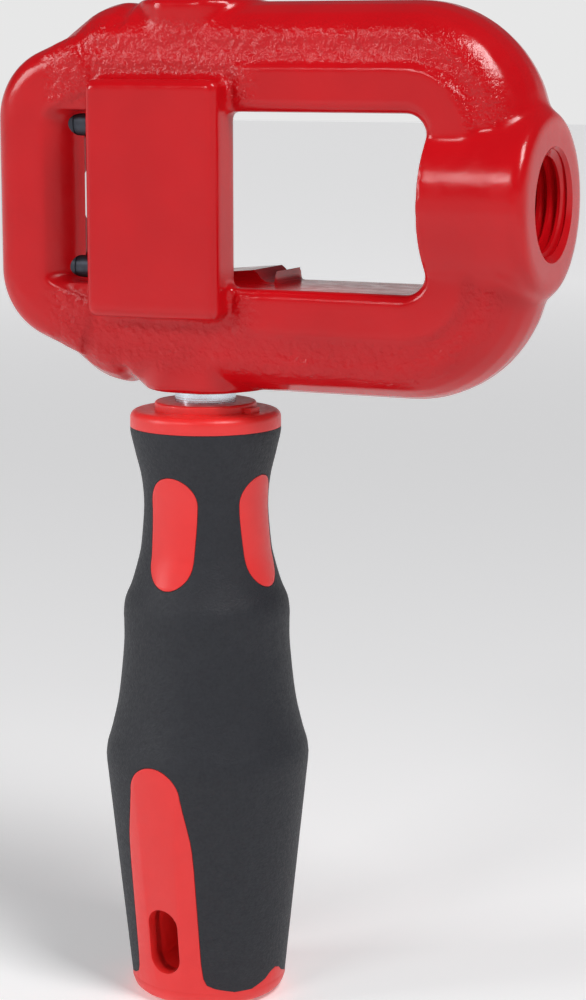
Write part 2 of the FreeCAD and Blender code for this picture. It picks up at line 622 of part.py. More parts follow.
def grip_sleeve():
    """Black soft sleeve moulded over the core, open at the insets and tongues."""
    skin = grip_solid(0).common(band(COLLAR_HEIGHT, TAIL_DROP))
    skin = skin.cut(grip_core_blank())
    return turned_with_grip(skin.removeSplitter())


def solid_of(shape):
    """The shape's only solid, so that each file holds plain solids."""
    return shape.Solids[0]


def all_nodes():
    nodes = {"yoke_casting": yoke_casting(), "handle_shank": shank()}
    nodes["thrust_washer_upper"] = thrust_washer(UPPER_WASHER_Z)
    nodes["thrust_washer_lower"] = thrust_washer(LOWER_WASHER_Z)
    nodes["shank_circlip"] = circlip()
    nodes["bearing_sleeve"] = bearing_sleeve()
    nodes["flange_bush"] = flange_bush()
    nodes["grip_core"] = grip_core()
    nodes["grip_sleeve"] = grip_sleeve()
    for name, sign in (("upper", 1), ("lower", -1)):
        nodes["plunger_body_" + name] = plunger_body(sign)
        nodes["plunger_spring_" + name] = plunger_spring(sign)
        nodes["plunger_ball_" + name] = plunger_ball(sign)
    return nodes


os.makedirs("parts", exist_ok=True)
for node, shape in all_nodes().items():
    print(node, "solids", len(shape.Solids), "valid", shape.isValid(), "volume", round(shape.Volume, 1))
    solid_of(shape).exportStep("parts/" + node + ".step")
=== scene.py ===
import math
import bpy
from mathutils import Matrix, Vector


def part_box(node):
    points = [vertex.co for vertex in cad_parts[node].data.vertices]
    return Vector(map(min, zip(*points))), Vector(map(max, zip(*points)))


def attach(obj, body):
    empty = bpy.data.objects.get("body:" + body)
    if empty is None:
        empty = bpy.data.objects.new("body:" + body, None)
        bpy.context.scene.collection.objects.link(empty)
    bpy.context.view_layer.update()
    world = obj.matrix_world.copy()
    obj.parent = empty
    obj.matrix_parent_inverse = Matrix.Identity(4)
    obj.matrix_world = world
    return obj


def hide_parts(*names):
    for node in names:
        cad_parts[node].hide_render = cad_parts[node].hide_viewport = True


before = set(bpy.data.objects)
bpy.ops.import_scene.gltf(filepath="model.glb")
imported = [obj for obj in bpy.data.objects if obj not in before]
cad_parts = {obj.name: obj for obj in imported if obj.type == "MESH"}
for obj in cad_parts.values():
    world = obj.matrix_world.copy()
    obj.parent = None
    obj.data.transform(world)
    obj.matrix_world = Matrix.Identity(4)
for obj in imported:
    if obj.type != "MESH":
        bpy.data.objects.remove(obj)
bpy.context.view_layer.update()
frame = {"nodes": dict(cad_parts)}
nodes = frame["nodes"]


# Studio: a pale floor under the tool's tail that glows more further away, a pale surround that is
# darker overhead, three soft lights and the camera.
def deselect():
    if bpy.context.object and bpy.context.object.mode != "OBJECT":
        bpy.ops.object.mode_set(mode="OBJECT")
    bpy.ops.object.select_all(action="DESELECT")


deselect()
floor_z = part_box("grip_core")[0].z
bpy.ops.mesh.primitive_plane_add(size=12, location=(0, 0, floor_z))
floor = bpy.context.object
floor.name = "studio_floor"
bpy.ops.object.transform_apply(location=True, rotation=True, scale=True)
floor_paper = bpy.data.materials.new("floor_paper")
floor_paper.use_nodes = True
floor_shader = floor_paper.node_tree.nodes["Principled BSDF"]
floor_shader.inputs["Base Color"].default_value = (0.93, 0.93, 0.93, 1)
floor_shader.inputs["Roughness"].default_value = 0.75
floor_shader.inputs["Emission Color"].default_value = (1, 1, 1, 1)
spot = floor_paper.node_tree.nodes.new("ShaderNodeTexCoord")
reach = floor_paper.node_tree.nodes.new("ShaderNodeVectorMath")
reach.operation = "LENGTH"
brighten = floor_paper.node_tree.nodes.new("ShaderNodeMapRange")
brighten.inputs["From Min"].default_value = 0.3
brighten.inputs["From Max"].default_value = 1.6
brighten.inputs["To Min"].default_value = 0.2
brighten.inputs["To Max"].default_value = 0.6
floor_paper.node_tree.links.new(spot.outputs["Object"], reach.inputs[0])
floor_paper.node_tree.links.new(reach.outputs["Value"], brighten.inputs["Value"])
floor_paper.node_tree.links.new(brighten.outputs["Result"], floor_shader.inputs["Emission Strength"])
floor.data.materials.append(floor_paper)

surround = bpy.data.worlds.new("surround")
surround.use_nodes = True
sky = surround.node_tree.nodes
sky_links = surround.node_tree.links
direction = sky.new("ShaderNodeTexCoord")
height = sky.new("ShaderNodeSeparateXYZ")
fade = sky.new("ShaderNodeValToRGB")
fade.color_ramp.elements[0].position = 0.04
fade.color_ramp.elements[0].color = (1, 1, 1, 1)
fade.color_ramp.elements[1].position = 0.3
fade.color_ramp.elements[1].color = (0.10, 0.10, 0.11, 1)
sky_links.new(direction.outputs["Generated"], height.inputs["Vector"])
sky_links.new(height.outputs["Z"], fade.inputs["Fac"])
sky_links.new(fade.outputs["Color"], sky["Background"].inputs["Color"])
sky["Background"].inputs["Strength"].default_value = 0.8
bpy.context.scene.world = surround

lights = (
    ("soft_right", (0.55, -0.25, 0.75), (0.30, 0.40), 6.5),
    ("soft_left", (-0.75, -0.55, 0.35), (0.35, 0.35), 3.2),
    ("soft_front", (-0.30, -1.2, 0.75), (0.45, 0.25), 3.5),
)
for light_name, place, size, power in lights:
    glow = bpy.data.lights.new(light_name, "AREA")
    glow.shape = "RECTANGLE"
    glow.size = size[0]
    glow.size_y = size[1]
    glow.energy = power
    lamp = bpy.data.objects.new(light_name, glow)
    lamp.location = place
    lamp.rotation_euler = (Vector((0.01, 0, -0.02)) - Vector(place)).to_track_quat("-Z", "Y").to_euler()
    bpy.context.scene.collection.objects.link(lamp)

lens = bpy.data.cameras.new("camera")
lens.lens = 89.6
lens.sensor_width = 36
camera = bpy.data.objects.new("camera", lens)
camera.location = (0.2170, -0.4328, 0.0271)
camera.rotation_euler = (math.radians(90 - 10.17), 0, math.radians(24.60))
bpy.context.scene.collection.objects.link(camera)
bpy.context.scene.camera = camera
bpy.context.scene.view_settings.view_transform = "Standard"


# Yoke casting: one steel casting with a thick outer band all round, a sandy groove beside it and a
# smooth rim round the window. The end wall carries the die seat, the boss carries the thread. It is
# built as an upper half, mirrored, melted into one skin, and then machined.
yoke_low, yoke_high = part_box("yoke_casting")
end_x = yoke_low.x
boss_x = yoke_high.x
arm_z = 0.0369
arm_depth = 0.0122
rim_depth = 0.0130
rim_width = 0.0088
window_left, window_right = 0.0130, 0.0505
window_z = 0.0164
window_corner = 0.004
pocket_seat_z, pocket_mouth_z = 0.0170, 0.0139
land_foot = 0.0150
seat_x = -0.0236
end_inner_x = -0.0285
corner_radius = 0.0140
corner_z = 0.0145
shoulder_radius = 0.0140
crown_radius = 0.0250
crown_x = boss_x - 0.0012 - crown_radius
boss_radius = 0.0175
plate_left, plate_right = -0.0170, 0.0110
plate_front, plate_back = yoke_low.y, -0.0082
plate_z = 0.0224
overlap = 0.001


def draw_outline(name, corners, filled=True):
    """A flat outline, its corners placed one after another by extruding a single vertex."""
    deselect()
    bpy.ops.mesh.primitive_plane_add(size=0.0001, location=corners[0])
    piece = bpy.context.object
    piece.name = name
    bpy.ops.object.transform_apply(location=True, rotation=True, scale=True)
    bpy.ops.object.mode_set(mode="EDIT")
    bpy.ops.mesh.select_mode(type="VERT")
    bpy.ops.mesh.select_all(action="SELECT")
    bpy.ops.mesh.merge(type="CENTER")
    for start, end in zip(corners, corners[1:]):
        step = Vector(end) - Vector(start)
        bpy.ops.mesh.extrude_vertices_move(TRANSFORM_OT_translate={"value": step})
    if filled:
        bpy.ops.mesh.select_all(action="SELECT")
        bpy.ops.mesh.edge_face_add()
    return piece


def push(step):
    bpy.ops.mesh.extrude_region_move(TRANSFORM_OT_translate={"value": step})


def swing(centre_x, centre_z, degrees):
    """Carries the selected section on round an upright arc, from the end wall towards the crown."""
    steps = max(4, round(degrees / 5))
    turn = math.radians(degrees)
    bpy.ops.mesh.spin(steps=steps, angle=turn, center=(centre_x, 0, centre_z), axis=(0, -1, 0))


def close_up(piece):
    bpy.ops.mesh.select_all(action="SELECT")
    bpy.ops.mesh.remove_doubles(threshold=0.00001)
    bpy.ops.mesh.normals_make_consistent(inside=False)
    bpy.ops.object.mode_set(mode="OBJECT")
    return piece


def apply_all(piece):
    """Applies the piece's modifiers in order."""
    deselect()
    piece.select_set(True)
    bpy.context.view_layer.objects.active = piece
    for modifier in list(piece.modifiers):
        bpy.ops.object.modifier_apply(modifier=modifier.name)


def join(pieces):
    deselect()
    for piece in pieces:
        piece.select_set(True)
    bpy.context.view_layer.objects.active = pieces[0]
    bpy.ops.object.join()
    return pieces[0]


def block(name, low, high):
    deselect()
    low = Vector(low)
    high = Vector(high)
    bpy.ops.mesh.primitive_cube_add(size=1, location=(low + high) / 2, scale=high - low)
    piece = bpy.context.object
    piece.name = name
    bpy.ops.object.transform_apply(location=True, rotation=True, scale=True)
    return piece


def rod(name, radius, start, end, sides=64):
    """A round bar between two points on a line along X, Y or Z."""
    deselect()
    start = Vector(start)
    end = Vector(end)
    turn = (end - start).to_track_quat("Z", "Y").to_euler()
    length = (end - start).length
    middle = (start + end) / 2
    bpy.ops.mesh.primitive_cylinder_add(
        vertices=sides, radius=radius, depth=length, location=middle, rotation=turn)
    piece = bpy.context.object
    piece.name = name
    bpy.ops.object.transform_apply(location=True, rotation=True, scale=True)
    return piece


def soften(piece, test, width, segments):
    """Rounds the edges whose middles pass the test."""
    corners = piece.data.vertices
    for face in piece.data.polygons:
        face.select = False
    for corner in corners:
        corner.select = False
    for edge in piece.data.edges:
        start, end = (corners[index].co for index in edge.vertices)
        edge.select = test((start + end) / 2)
    deselect()
    piece.select_set(True)
    bpy.context.view_layer.objects.active = piece
    bpy.ops.object.mode_set(mode="EDIT")
    bpy.ops.mesh.select_mode(type="EDGE")
    bpy.ops.mesh.bevel(offset=width, segments=segments, affect="EDGES")
    bpy.ops.object.mode_set(mode="OBJECT")
    return piece


def rounded_front(radius, depth, count):
    """(inset, y) pairs of a rounded front edge, from the outer face to the front face."""
    points = []
    for index in range(count + 1):
        turn = math.radians(90 * index / count)
        points.append((radius - radius * math.cos(turn), -depth + radius - radius * math.sin(turn)))
    return points


def with_back(front):
    """The whole section from its front half, which runs from the inner side to the outer face."""
    return front + [(inset, -y) for inset, y in reversed(front)]


def band(name, section, slope, run_length):
    """Outer band from the middle of the end wall up, round the corner and along the shoulder. With no
    run length given it goes on along the arm, over the crown and down behind the boss."""
    piece = draw_outline(name, [(end_x + inset, y, -overlap) for inset, y in section])
    push((0, 0, corner_z + overlap))
    swing(end_x + corner_radius, corner_z, 90 - slope)
    rise = math.radians(slope)
    if run_length:
        push(Vector((math.cos(rise), 0, math.sin(rise))) * run_length)
        return close_up(piece)
    knee_x = end_x + corner_radius - corner_radius * math.sin(rise)
    knee_z = corner_z + corner_radius * math.cos(rise)
    blend_z = arm_z - shoulder_radius
    climb = blend_z + shoulder_radius * math.cos(rise) - knee_z
    push((climb / math.tan(rise), 0, climb))
    blend_x = knee_x + climb / math.tan(rise) + shoulder_radius * math.sin(rise)
    swing(blend_x, blend_z, slope)
    push((crown_x - blend_x, 0, 0))
    swing(crown_x, arm_z - crown_radius, 90)
    push((0, 0, crown_radius - arm_z - overlap))
    return close_up(piece)


arm_front = [(0.0125, -arm_depth), (0.0116, -arm_depth), (0.0085, -0.0115), (0.0066, -0.0115)]
arm_front += [(0.0047, -0.0107), (0.0025, -0.0086), (0.0009, -0.0055), (0.0001, -0.0020)]
end_front = [(0.0138, -0.0100), (0.0114, -rim_depth)]
end_front += reversed(rounded_front(0.005, rim_depth, 6))
end_section = end_front + [(inset, -y) for inset, y in rounded_front(0.005, rim_depth, 6)]
end_section.append((0.0138, rim_depth))
parts = [band("yoke", with_back(arm_front), 36, 0), band("end_band", end_section, 22, 0.010)]

lip = 0.0014
fade_in = 0.0006
rim_outer = window_z + rim_width
rim_front = [(-rim_depth + 0.0012, window_z), (-rim_depth, window_z + lip)]
rim_front.append((-rim_depth, rim_outer - fade_in))
rim_back = [(-y, z) for y, z in reversed(rim_front)]
rim_section = rim_front + [(-arm_depth, rim_outer), (arm_depth, rim_outer)] + rim_back
rim = draw_outline("rim", [(window_left, y, z) for y, z in rim_section])
push((window_right - window_corner - window_left, 0, 0))
swing(window_right - window_corner, window_z - window_corner, 90)
push((0, 0, window_corner - window_z - overlap))
parts.append(close_up(rim))

root_low = (end_inner_x + 0.003, -arm_depth, window_z)
parts.append(block("arm_root", root_low, (window_left + overlap, rim_depth, arm_z - 0.011)))

web = block("shoulder_web", (end_inner_x, -arm_depth, 0.0155), (plate_left + 0.004, rim_depth, 0.0270))
for corner in web.data.vertices:
    if corner.co.y < 0 and corner.co.z < 0.02:
        corner.co.y = -0.0085
parts.append(web)
land_x = end_inner_x + 0.003
lower_low = (land_x, 0, -window_z - overlap)
lower_high = (land_foot, rim_depth, overlap - pocket_mouth_z)
upper_low = (land_x, 0, pocket_mouth_z - overlap)
upper_end = -0.002
upper_high = (upper_end, rim_depth, window_z + overlap)
whole = [block("lower_land", lower_low, lower_high), block("upper_land", upper_low, upper_high)]
whole.append(block("end_wall", (end_x + 0.010, plate_back, -0.022), (seat_x + 0.004, rim_depth, 0.022)))
slope_z = 0.0235
slope_section = [(end_inner_x - overlap, -rim_depth), (end_inner_x, -rim_depth)]
slope_section += [(end_inner_x + 0.0090, -0.0047), (end_inner_x - overlap, 0)]
slope = draw_outline("seat_slope", [(x, y, -slope_z) for x, y in slope_section])
push((0, 0, 2 * slope_z))
whole.append(close_up(slope))
plate = block("front_plate", (plate_left, plate_front, -plate_z), (plate_right, plate_back, plate_z))
whole.append(soften(plate, lambda p: p.y < plate_back - 0.0001, 0.0018, 5))
boss = rod("boss", boss_radius, (window_right, 0, 0), (boss_x, 0, 0), 96)
whole.append(soften(boss, lambda p: p.x > boss_x - 0.0001, 0.0022, 5))
pad_radius = 0.012
pad_half_depth = 0.0112
pad = rod("shank_pad", pad_radius, (0, 0, arm_z - pad_radius), (0, 0, yoke_high.z), 64)
deselect()
pad.select_set(True)
bpy.context.view_layer.objects.active = pad
bpy.ops.object.mode_set(mode="EDIT")
for side in (-1, 1):
    bpy.ops.mesh.select_all(action="SELECT")
    flat = (0, side * pad_half_depth, 0)
    bpy.ops.mesh.bisect(plane_co=flat, plane_no=(0, side, 0), clear_outer=True, use_fill=True)
bpy.ops.object.mode_set(mode="OBJECT")
parts.append(pad)

yoke = join(parts)
mirror = yoke.modifiers.new("lower_half", "MIRROR")
mirror.use_axis = (False, False, True)
mirror.use_mirror_merge = False
apply_all(yoke)
yoke = join([yoke] + whole)
melt = yoke.modifiers.new("one_skin", "REMESH")
melt.mode = "VOXEL"
melt.voxel_size = 0.0006
apply_all(yoke)


def ease(value, start, end):
    share = min(max((value - start) / (end - start), 0), 1)
    return share * share * (3 - 2 * share)


def from_window(spot):
    """How far outwards from the window's edge a spot on the frame lies."""
    x = spot.x - crown_x
    z = abs(spot.z) - arm_z + crown_radius
    if x < 0:
        return abs(spot.z) - window_z
    inner = crown_radius - arm_z + window_z
    return (math.hypot(x, z) if z > 0 else x) - inner


def sandiness(spot):
    """How sandy the cast skin is: 1 in the groove and the web, near 0 on the plate and the boss."""
    if math.hypot(spot.y, spot.z) < boss_radius + 0.001 and spot.x > window_right - 0.002:
        return 0
    out = from_window(spot)
    sand = ease(out, rim_width - 0.0006, rim_width + 0.0008) * (1 - ease(out, 0.0155, 0.0180))
    root = ease(out, 0.0005, 0.0020) * (1 - ease(out, 0.0155, 0.0180))
    sand = max(sand, root * (1 - ease(spot.x, window_left + 0.001, window_left + 0.006)))
    sand *= ease(spot.x, end_inner_x - 0.0010, end_inner_x + 0.0035)
    if spot.y < -rim_depth - 0.0003:
        sand = 0
    return sand * ease(abs(spot.y), 0.0065, 0.0095)


def near_boss(spot):
    """1 along the joint between the boss and the crown, fading out over a few millimetres."""
    gap = abs(math.hypot(spot.y, spot.z) - boss_radius)
    return (1 - ease(gap, 0.0015, 0.0045)) * ease(spot.x, window_right + 0.001, window_right + 0.004)


def near_pad(spot):
    """1 round the edge of a shank pad, fading out on both sides."""
    return 1 - ease(abs(math.hypot(spot.x, spot.y) - pad_radius), 0.0012, 0.0035)


def in_valley(spot):
    """1 in the shallow valley between the shoulder and a shank pad."""
    high = ease(abs(spot.z), arm_z - 0.007, arm_z - 0.003)
    return (1 - ease(abs(spot.x + 0.0130), 0.0003, 0.0020)) * high


sandy = yoke.vertex_groups.new(name="sandy")
fillet = yoke.vertex_groups.new(name="fillet")
valley = yoke.vertex_groups.new(name="valley")
for corner in yoke.data.vertices:
    sandy.add([corner.index], sandiness(corner.co), "REPLACE")
    if corner.co.x > window_right:
        fillet.add([corner.index], near_boss(corner.co), "REPLACE")
    if abs(corner.co.z) > arm_z - 0.008 and abs(corner.co.x) < 0.018:
        fillet.add([corner.index], near_pad(corner.co), "REPLACE")
        valley.add([corner.index], in_valley(corner.co), "REPLACE")
blend = yoke.modifiers.new("boss_fillet", "SMOOTH")
blend.factor = 0.5
blend.iterations = 24
blend.vertex_group = "fillet"
sink = yoke.modifiers.new("pad_valley", "DISPLACE")
sink.strength = -0.0007
sink.mid_level = 0
sink.vertex_group = "valley"
polish = yoke.modifiers.new("cast_edges", "SMOOTH")
polish.factor = 0.5
polish.iterations = 3
for grain_name, grain_size, grain_height in (("sand", 0.0013, 0.00017), ("flow", 0.006, 0.0003)):
    grain = bpy.data.textures.new(grain_name, "CLOUDS")
    grain.noise_scale = grain_size
    grain.noise_depth = 1
    lift = yoke.modifiers.new(grain_name, "DISPLACE")
    lift.texture = grain
    lift.texture_coords = "LOCAL"
    lift.strength = grain_height
    lift.mid_level = 0.5
    lift.vertex_group = "sandy"
apply_all(yoke)


def machine(piece, cutter):
    """Cuts the cutter's shape out of the piece and removes the cutter."""
    cut = piece.modifiers.new("machined", "BOOLEAN")
    cut.operation = "DIFFERENCE"
    cut.solver = "EXACT"
    cut.object = cutter
    apply_all(piece)
    bpy.data.objects.remove(cutter)


past = 0.002
foot = [(land_foot, window_z - 0.0001), (0.0131, 0.0160), (0.0120, 0.0154), (0.0113, 0.0145)]
half = foot + [(0.0105, pocket_mouth_z), (seat_x, pocket_seat_z)]
whole_outline = [(x, plate_back, z) for x, z in half] + [(x, plate_back, -z) for x, z in reversed(half)]
pocket = draw_outline("die_pocket", whole_outline)
push((0, rim_depth - plate_back + past, 0))
machine(yoke, close_up(pocket))
tube_radius = 0.0063
slot_floor = [math.radians(90 - 7.5 * index) for index in range(25)]
slot_round = [(-tube_radius * math.cos(turn), tube_radius * math.sin(turn)) for turn in slot_floor]
slot_mouth = rim_depth + past
slot_section = [(slot_mouth, tube_radius)] + slot_round + [(slot_mouth, -tube_radius)]
tube_slot = draw_outline("tube_slot", [(end_x - past, y, z) for y, z in slot_section])
push((seat_x - end_x + 2 * past, 0, 0))
machine(yoke, close_up(tube_slot))
plunger_y, plunger_z = -0.0064, 0.0139
for side in (-1, 1):
    place = (plunger_y, side * plunger_z)
    machine(yoke, rod("plunger_hole", 0.0030, (end_x - past, *place), (plate_left, *place)))
machine(yoke, rod("stud_hole", 0.0060, (0, 0, yoke_low.z - past), (0, 0, yoke_low.z + 0.014)))

thread_pitch = 0.002
thread_crest, thread_root = 0.008917, 0.0101
machine(yoke, rod("core_hole", thread_crest, (window_right - past, 0, 0), (boss_x + past, 0, 0), 96))
inside_crest = thread_crest - 0.0003
groove = [(inside_crest, 0), (thread_root, 0.00075), (thread_root, 0.00100), (inside_crest, 0.00175)]
tap = draw_outline("tap", [(radius, 0, z) for radius, z in groove])
bpy.ops.mesh.select_all(action="SELECT")
bpy.ops.mesh.delete(type="ONLY_FACE")
bpy.ops.object.mode_set(mode="OBJECT")
turn = tap.modifiers.new("thread", "SCREW")
turn.angle = math.radians(360)
turn.screw_offset = thread_pitch
turn.iterations = 12
turn.steps = 48
turn.render_steps = 48
apply_all(tap)
bpy.ops.object.mode_set(mode="EDIT")
bpy.ops.mesh.select_all(action="SELECT")
bpy.ops.mesh.remove_doubles(threshold=0.000005)
bpy.ops.mesh.fill_holes(sides=0)
bpy.ops.mesh.select_all(action="SELECT")
bpy.ops.mesh.normals_make_consistent(inside=False)
bpy.ops.object.mode_set(mode="OBJECT")
tap.rotation_euler = (0, math.radians(90), 0)
tap.location = (window_right - past, 0, 0)
deselect()
tap.select_set(True)
bpy.ops.object.transform_apply(location=True, rotation=True, scale=True)
machine(yoke, tap)
mouth_radius = 0.0106
deselect()
mouth_wide = mouth_radius + past
mouth_narrow = 0.008
mouth_length = mouth_wide - mouth_narrow
bpy.ops.mesh.primitive_cone_add(
    vertices=96, radius1=mouth_wide, radius2=mouth_narrow, depth=mouth_length,
    location=(boss_x + past - mouth_length / 2, 0, 0), rotation=(0, math.radians(-90), 0))
bpy.ops.object.transform_apply(location=True, rotation=True, scale=True)
machine(yoke, bpy.context.object)
bpy.ops.object.mode_set(mode="EDIT")
bpy.ops.mesh.select_all(action="SELECT")
bpy.ops.mesh.remove_doubles(threshold=0.000002)
bpy.ops.object.mode_set(mode="OBJECT")


def finish(name):
    """A new material: its nodes, its links and its shader."""
    coat = bpy.data.materials.new(name)
    coat.use_nodes = True
    return coat, coat.node_tree.nodes, coat.node_tree.links, coat.node_tree.nodes["Principled BSDF"]


def speckle(nodes, links, scale, detail=2.0, stretch=(1, 1, 1)):
    """Fine noise fixed to the piece, at a scale per metre."""
    place = nodes.new("ShaderNodeTexCoord")
    mapping = nodes.new("ShaderNodeMapping")
    mapping.inputs["Scale"].default_value = stretch
    noise = nodes.new("ShaderNodeTexNoise")
    noise.inputs["Scale"].default_value = scale
    noise.inputs["Detail"].default_value = detail
    links.new(place.outputs["Object"], mapping.inputs["Vector"])
    links.new(mapping.outputs["Vector"], noise.inputs["Vector"])
    return noise.outputs["Fac"]


def spread(nodes, links, source, low, high, socket):
    """Feeds a socket with a noise stretched between two values or two colours."""
    ramp = nodes.new("ShaderNodeMapRange") if isinstance(low, float) else nodes.new("ShaderNodeMix")
    if isinstance(low, float):
        ramp.inputs["From Min"].default_value = 0.3
        ramp.inputs["From Max"].default_value = 0.7
        ramp.inputs["To Min"].default_value = low
        ramp.inputs["To Max"].default_value = high
        links.new(source, ramp.inputs["Value"])
        links.new(ramp.outputs["Result"], socket)
        return
    ramp.data_type = "RGBA"
    ramp.inputs["A"].default_value = (*low, 1)
    ramp.inputs["B"].default_value = (*high, 1)
    links.new(source, ramp.inputs["Factor"])
    links.new(ramp.outputs["Result"], socket)


def roughen(nodes, links, source, height, strength, below=None):
    """A bump of the given height, laid over an earlier one."""
    bump = nodes.new("ShaderNodeBump")
    bump.inputs["Distance"].default_value = height
    if isinstance(strength, float):
        bump.inputs["Strength"].default_value = strength
    else:
        links.new(strength, bump.inputs["Strength"])
    links.new(source, bump.inputs["Height"])
    if below:
        links.new(below, bump.inputs["Normal"])
    return bump.outputs["Normal"]


sand = yoke.data.attributes.new("sand", "FLOAT", "POINT")
for corner in yoke.data.vertices:
    sand.data[corner.index].value = sandiness(corner.co)
red_paint, nodes_, links, shader = finish("red_paint")
skin = nodes_.new("ShaderNodeAttribute")
skin.attribute_name = "sand"
strength = nodes_.new("ShaderNodeMapRange")
strength.inputs["To Min"].default_value = 0.05
strength.inputs["To Max"].default_value = 0.85
links.new(skin.outputs["Fac"], strength.inputs["Value"])
flow = roughen(nodes_, links, speckle(nodes_, links, 140.0), 0.0003, 0.35)
grit = roughen(nodes_, links, speckle(nodes_, links, 750.0, 3.0), 0.0006, strength.outputs["Result"], flow)
links.new(grit, shader.inputs["Normal"])
coat_noise = speckle(nodes_, links, 60.0)
spread(nodes_, links, coat_noise, (0.44, 0.002, 0.005), (0.58, 0.004, 0.008), shader.inputs["Base Color"])
spread(nodes_, links, speckle(nodes_, links, 300.0), 0.16, 0.26, shader.inputs["Roughness"])
shader.inputs["Coat Weight"].default_value = 0.1
shader.inputs["Specular IOR Level"].default_value = 0.32
shader.inputs["Coat Roughness"].default_value = 0.12
yoke.data.materials.clear()
yoke.data.materials.append(red_paint)
bpy.ops.object.shade_smooth_by_angle(angle=math.radians(35))
yoke.name = "painted_yoke"
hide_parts("yoke_casting")
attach(yoke, "yoke")


# Ball plungers: blackened steel barrels with a slotted tail, screwed into the end wall, each with a
# spring inside and a polished ball at its nose.
black_steel, nodes_, links, shader = finish("blackened_steel")
shader.inputs["Metallic"].default_value = 0.85
coat_noise = speckle(nodes_, links, 500.0)
spread(nodes_, links, coat_noise, (0.030, 0.034, 0.045), (0.075, 0.082, 0.10), shader.inputs["Base Color"])
spread(nodes_, links, speckle(nodes_, links, 1500.0), 0.28, 0.45, shader.inputs["Roughness"])
links.new(roughen(nodes_, links, speckle(nodes_, links, 2500.0), 0.0001, 0.3), shader.inputs["Normal"])
bright_steel, nodes_, links, shader = finish("bright_steel")
shader.inputs["Metallic"].default_value = 1.0
coat_noise = speckle(nodes_, links, 800.0)
spread(nodes_, links, coat_noise, (0.55, 0.55, 0.56), (0.68, 0.68, 0.69), shader.inputs["Base Color"])
spread(nodes_, links, speckle(nodes_, links, 1500.0), 0.10, 0.18, shader.inputs["Roughness"])


def dress(node, coat):
    """Gives a CAD node its finish."""
    nodes[node].data.materials.clear()
    nodes[node].data.materials.append(coat)


for level in ("upper", "lower"):
    dress("plunger_body_" + level, black_steel)
    dress("plunger_spring_" + level, bright_steel)
    dress("plunger_ball_" + level, bright_steel)


# Handle shank and what runs on it: a zinc-plated steel pin screwed into the lower arm, two thrust
# washers and a circlip. Turning left fine rings round the neck.
zinc, nodes_, links, shader = finish("zinc_plate")
shader.inputs["Metallic"].default_value = 1.0
coat_noise = speckle(nodes_, links, 90.0, 2.0, (1, 1, 60))
spread(nodes_, links, coat_noise, (0.62, 0.66, 0.72), (0.80, 0.84, 0.90), shader.inputs["Base Color"])
spread(nodes_, links, speckle(nodes_, links, 400.0), 0.16, 0.30, shader.inputs["Roughness"])
rings = speckle(nodes_, links, 60.0, 1.0, (1, 1, 90))
links.new(roughen(nodes_, links, rings, 0.00006, 0.5), shader.inputs["Normal"])
for node in ("handle_shank", "thrust_washer_upper", "thrust_washer_lower"):
    dress(node, zinc)
dress("shank_circlip", black_steel)
bronze, nodes_, links, shader = finish("sintered_bronze")
shader.inputs["Metallic"].default_value = 1.0
coat_noise = speckle(nodes_, links, 1200.0)
spread(nodes_, links, coat_noise, (0.36, 0.22, 0.10), (0.60, 0.40, 0.18), shader.inputs["Base Color"])
spread(nodes_, links, speckle(nodes_, links, 2000.0), 0.35, 0.55, shader.inputs["Roughness"])
dress("bearing_sleeve", bronze)
red_plastic, nodes_, links, shader = finish("red_plastic")
coat_noise = speckle(nodes_, links, 200.0)
spread(nodes_, links, coat_noise, (0.74, 0.022, 0.022), (0.82, 0.030, 0.028), shader.inputs["Base Color"])
spread(nodes_, links, speckle(nodes_, links, 900.0), 0.30, 0.42, shader.inputs["Roughness"])
links.new(roughen(nodes_, links, speckle(nodes_, links, 2500.0), 0.00008, 0.3), shader.inputs["Normal"])
shader.inputs["Subsurface Weight"].default_value = 0.15
shader.inputs["Subsurface Radius"].default_value = (0.002, 0.0006, 0.0005)
black_grip, nodes_, links, shader = finish("black_soft_grip")
coat_noise = speckle(nodes_, links, 500.0)
spread(nodes_, links, coat_noise, (0.006, 0.007, 0.012), (0.013, 0.015, 0.021), shader.inputs["Base Color"])
spread(nodes_, links, speckle(nodes_, links, 1500.0), 0.50, 0.68, shader.inputs["Roughness"])
links.new(roughen(nodes_, links, speckle(nodes_, links, 2600.0, 3.0), 0.0003, 0.5), shader.inputs["Normal"])


# Grip core: a hard red moulding with a rounded collar, four tall insets and two tongues that come
# through the sleeve, a domed tail and a hang slot. Its bore holds the bush and the bearing.
grip_turn = -6.5
tail_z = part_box("grip_core")[0].z
collar_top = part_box("grip_core")[1].z
sleeve_low, sleeve_high = -0.1564, -0.0447
collar_radius = 0.01482


def curve_through(stations, steps=4):
    """A smooth curve through (radius, z) stations, with a few points in each stretch."""
    points = []
    last = len(stations) - 1
    for index in range(last):
        before = stations[max(index - 1, 0)]
        start = stations[index]
        end = stations[index + 1]
        after = stations[min(index + 2, last)]
        for step in range(steps):
            t = step / steps
            point = []
            for a, b, c, d in zip(before, start, end, after):
                bend = 2 * a - 5 * b + 4 * c - d + t * (3 * (b - c) + d - a)
                point.append(b + 0.5 * t * (c - a + t * bend))
            points.append(tuple(point))
    return points + [stations[-1]]


